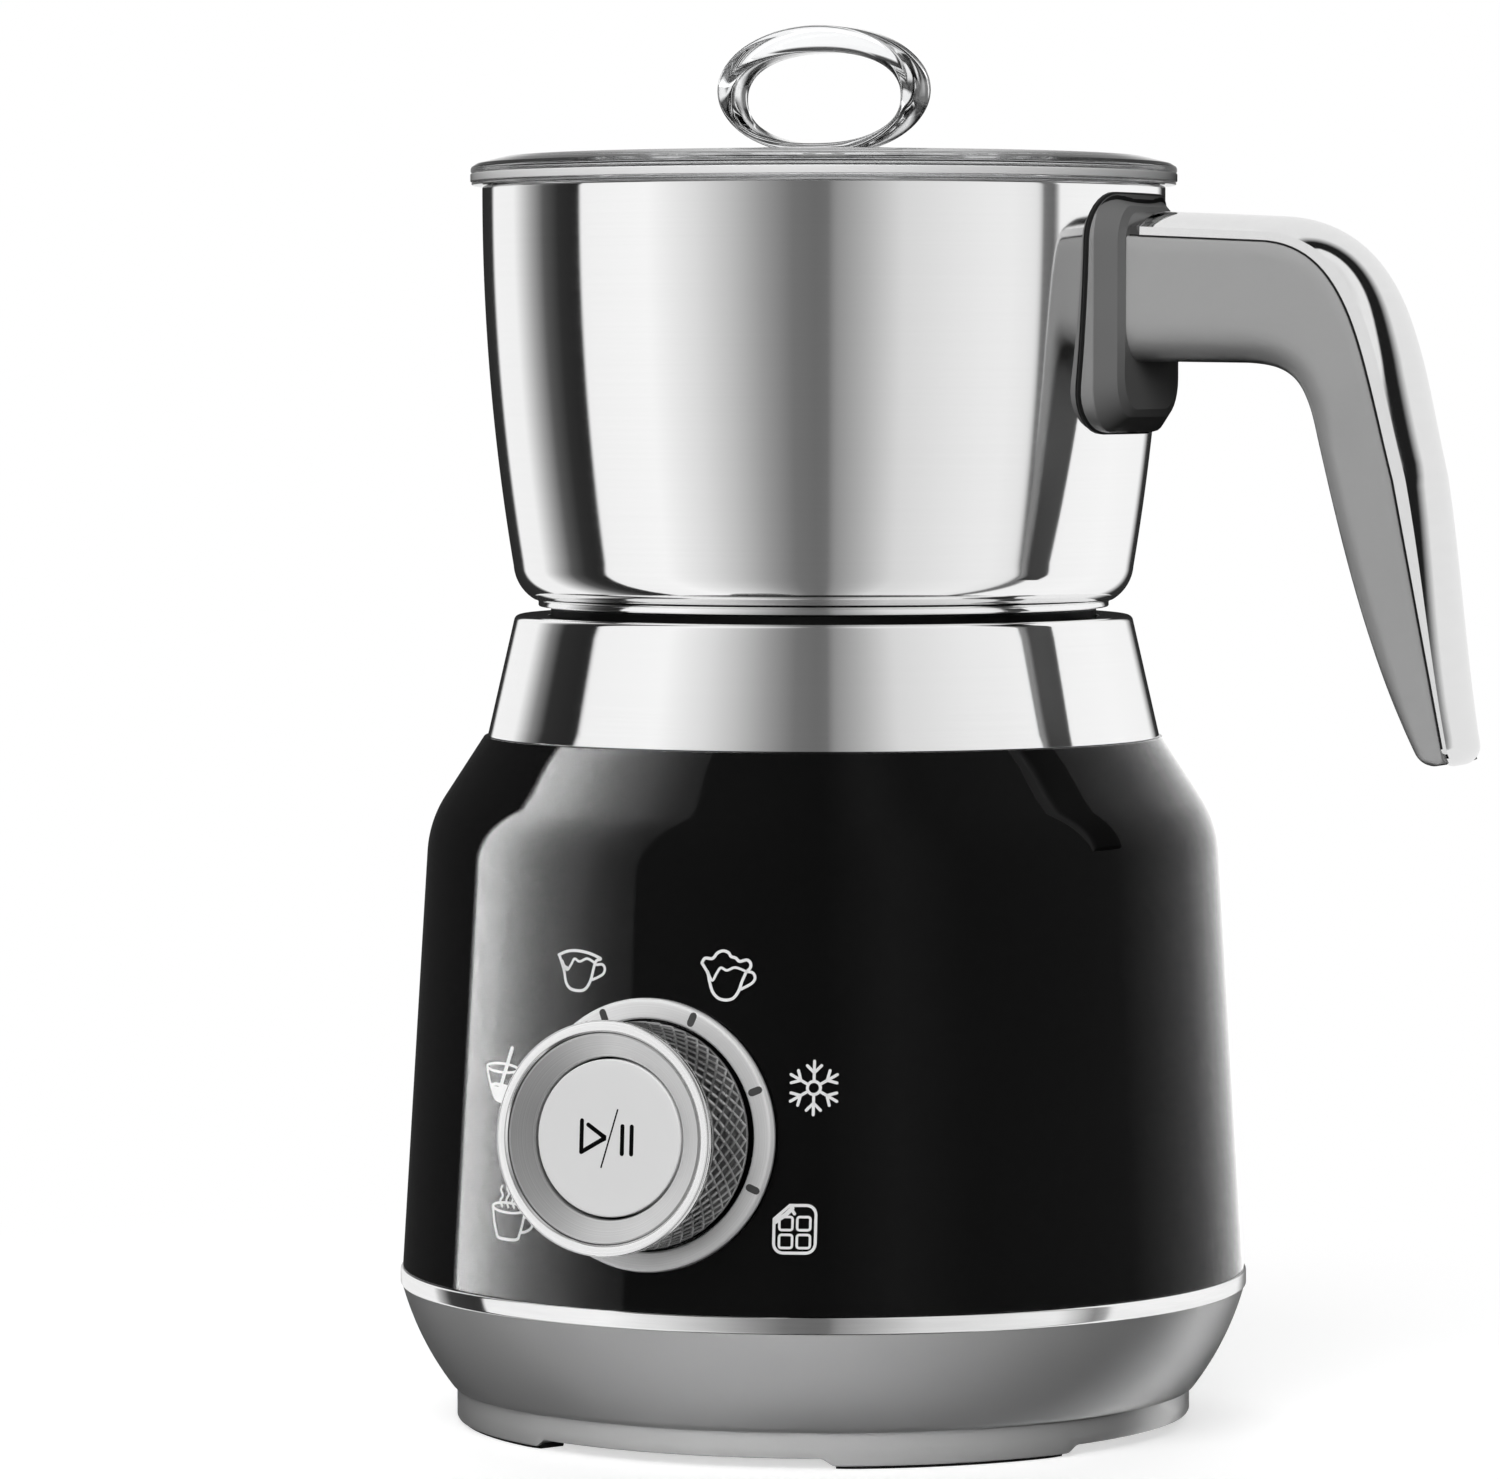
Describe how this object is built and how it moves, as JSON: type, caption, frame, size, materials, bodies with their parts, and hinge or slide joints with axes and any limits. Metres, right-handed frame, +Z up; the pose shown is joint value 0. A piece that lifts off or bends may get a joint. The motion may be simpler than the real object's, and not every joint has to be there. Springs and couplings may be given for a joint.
{
  "type": "milk frother",
  "caption": "Milk frother with an induction base, rotary dial and start button, lift-off steel jug with side handle, magnetic whisk and clear lid with loop grip.",
  "frame": {"origin": "on the base's axis at table level, midway between the feet", "axes": "+Z up along the base's axis, -Y towards the dial, +X towards the jug's handle"},
  "size_m": [0.1961, 0.1676, 0.2463],
  "materials": {
    "rubber_black": "soft moulded rubber",
    "grey_plastic": "satin moulded plastic",
    "chrome_trim": "bright plated",
    "gloss_black": "high gloss moulded plastic",
    "polished_steel": "polished stainless steel",
    "black_plastic": "fine matt moulded plastic",
    "silicone_black": "silicone",
    "silicone_clear": "translucent silicone",
    "amber_plastic": "heat resistant moulding",
    "copper_wire": "enamelled copper wire",
    "ferrite": "sintered ferrite",
    "bracket_steel": "zinc plated sheet",
    "screw_steel": "zinc plated",
    "circuit_board": "lacquered glass fibre",
    "aluminium": "extruded",
    "dark_resin": "moulded resin",
    "capacitor_blue": "shrink sleeve",
    "capacitor_red": "dipped resin",
    "satin_silver": "satin anodised",
    "knurled_metal": "fine diamond knurl",
    "bright_rim": "bright turned edge",
    "button_white": "smooth off-white with printed mark",
    "white_plastic": "food-safe moulding",
    "magnet": "nickel plated magnet",
    "clear_plastic": "clear moulded plastic"
  },
  "bodies": {
    "base": {"foot_pad_1": "rubber_black", "foot_pad_2": "rubber_black", "foot_pad_3": "rubber_black", "foot_pad_4": "rubber_black", "base_plate": "grey_plastic", "base_screws": "screw_steel", "base_bowl": "grey_plastic", "trim_ring": "chrome_trim", "body_shell": "gloss_black", "collar": "polished_steel", "seat_plate": "black_plastic", "seat_gasket": "silicone_black", "coil_former": "amber_plastic", "induction_coil": "copper_wire", "ferrite_bars": "ferrite", "motor_bracket": "bracket_steel", "motor_screws": "screw_steel", "motor_can": "bracket_steel", "motor_cap": "dark_resin", "power_board": "circuit_board", "heat_sink": "aluminium", "power_transistor": "dark_resin", "filter_capacitor": "capacitor_blue", "tank_capacitor": "capacitor_red", "choke_coil": "copper_wire", "control_board": "circuit_board", "rotary_encoder": "dark_resin", "start_switch": "dark_resin", "knob_boss": "white_plastic", "dial_ring": "satin_silver", "fan_frame": "dark_resin", "cord_gland": "rubber_black", "sensor_guide": "white_plastic"},
    "fan": {"fan_rotor": "dark_resin"},
    "sensor": {"temp_sensor_cap": "bracket_steel", "sensor_spring": "screw_steel"},
    "drive": {"motor_shaft": "bracket_steel", "motor_rotor": "ferrite", "drive_disc": "dark_resin", "drive_magnets": "magnet"},
    "knob": {"knob_grip": "knurled_metal", "knob_dish": "satin_silver", "knob_rim": "bright_rim"},
    "button": {"start_button": "button_white"},
    "jug": {"jug_shell": "polished_steel", "jug_base_disc": "bracket_steel", "whisk_pin": "polished_steel", "handle_gasket": "silicone_black", "handle_bracket": "grey_plastic", "handle_tang": "bracket_steel", "handle_grip": "grey_plastic", "handle_strip": "chrome_trim", "handle_screws": "screw_steel"},
    "whisk": {"whisk_hub": "white_plastic", "whisk_magnets": "magnet"},
    "froth": {"froth_disc": "polished_steel"},
    "lid": {"lid_disc": "clear_plastic", "lid_gasket": "silicone_clear", "lid_loop": "clear_plastic"}
  },
  "joints": [
    {"name": "knob_turn", "type": "hinge", "parent": "base", "child": "knob", "pos_m": [0, -0.07278, 0.057], "axis": [0, -0.9981, 0.061], "range_deg": [-225, 0]},
    {"name": "start_press", "type": "slide", "parent": "base", "child": "button", "axis": [0, 0.9981, -0.061], "range_m": [0, 0.0012], "stiffness_N_per_m": 1500, "springref_m": -0.0006},
    {"name": "sensor_press", "type": "slide", "parent": "base", "child": "sensor", "axis": [0, 0, -1], "range_m": [0, 0.0012], "stiffness_N_per_m": 300, "springref_m": -0.001, "deforming": ["sensor_spring"]},
    {"name": "motor_spin", "type": "hinge", "parent": "base", "child": "drive", "pos_m": [0, 0, 0.106], "axis": [0, 0, 1], "continuous": true},
    {"name": "fan_spin", "type": "hinge", "parent": "base", "child": "fan", "pos_m": [0, 0, 0.011], "axis": [0, 0, 1], "continuous": true},
    {"name": "jug_lift", "type": "slide", "parent": "base", "child": "jug", "axis": [0, 0, 1], "range_m": [0, 0.08]},
    {"name": "whisk_spin", "type": "hinge", "parent": "jug", "child": "whisk", "pos_m": [0, 0, 0.146], "axis": [0, 0, 1], "continuous": true},
    {"name": "froth_lift", "type": "slide", "parent": "whisk", "child": "froth", "axis": [0, 0, 1], "range_m": [0, 0.03]},
    {"name": "lid_lift", "type": "slide", "parent": "jug", "child": "lid", "axis": [0, 0, 1], "range_m": [0, 0.05]}
  ],
  "couplings": [
    {"joint": "whisk_spin", "follows": "motor_spin", "ratio": 1}
  ]
}
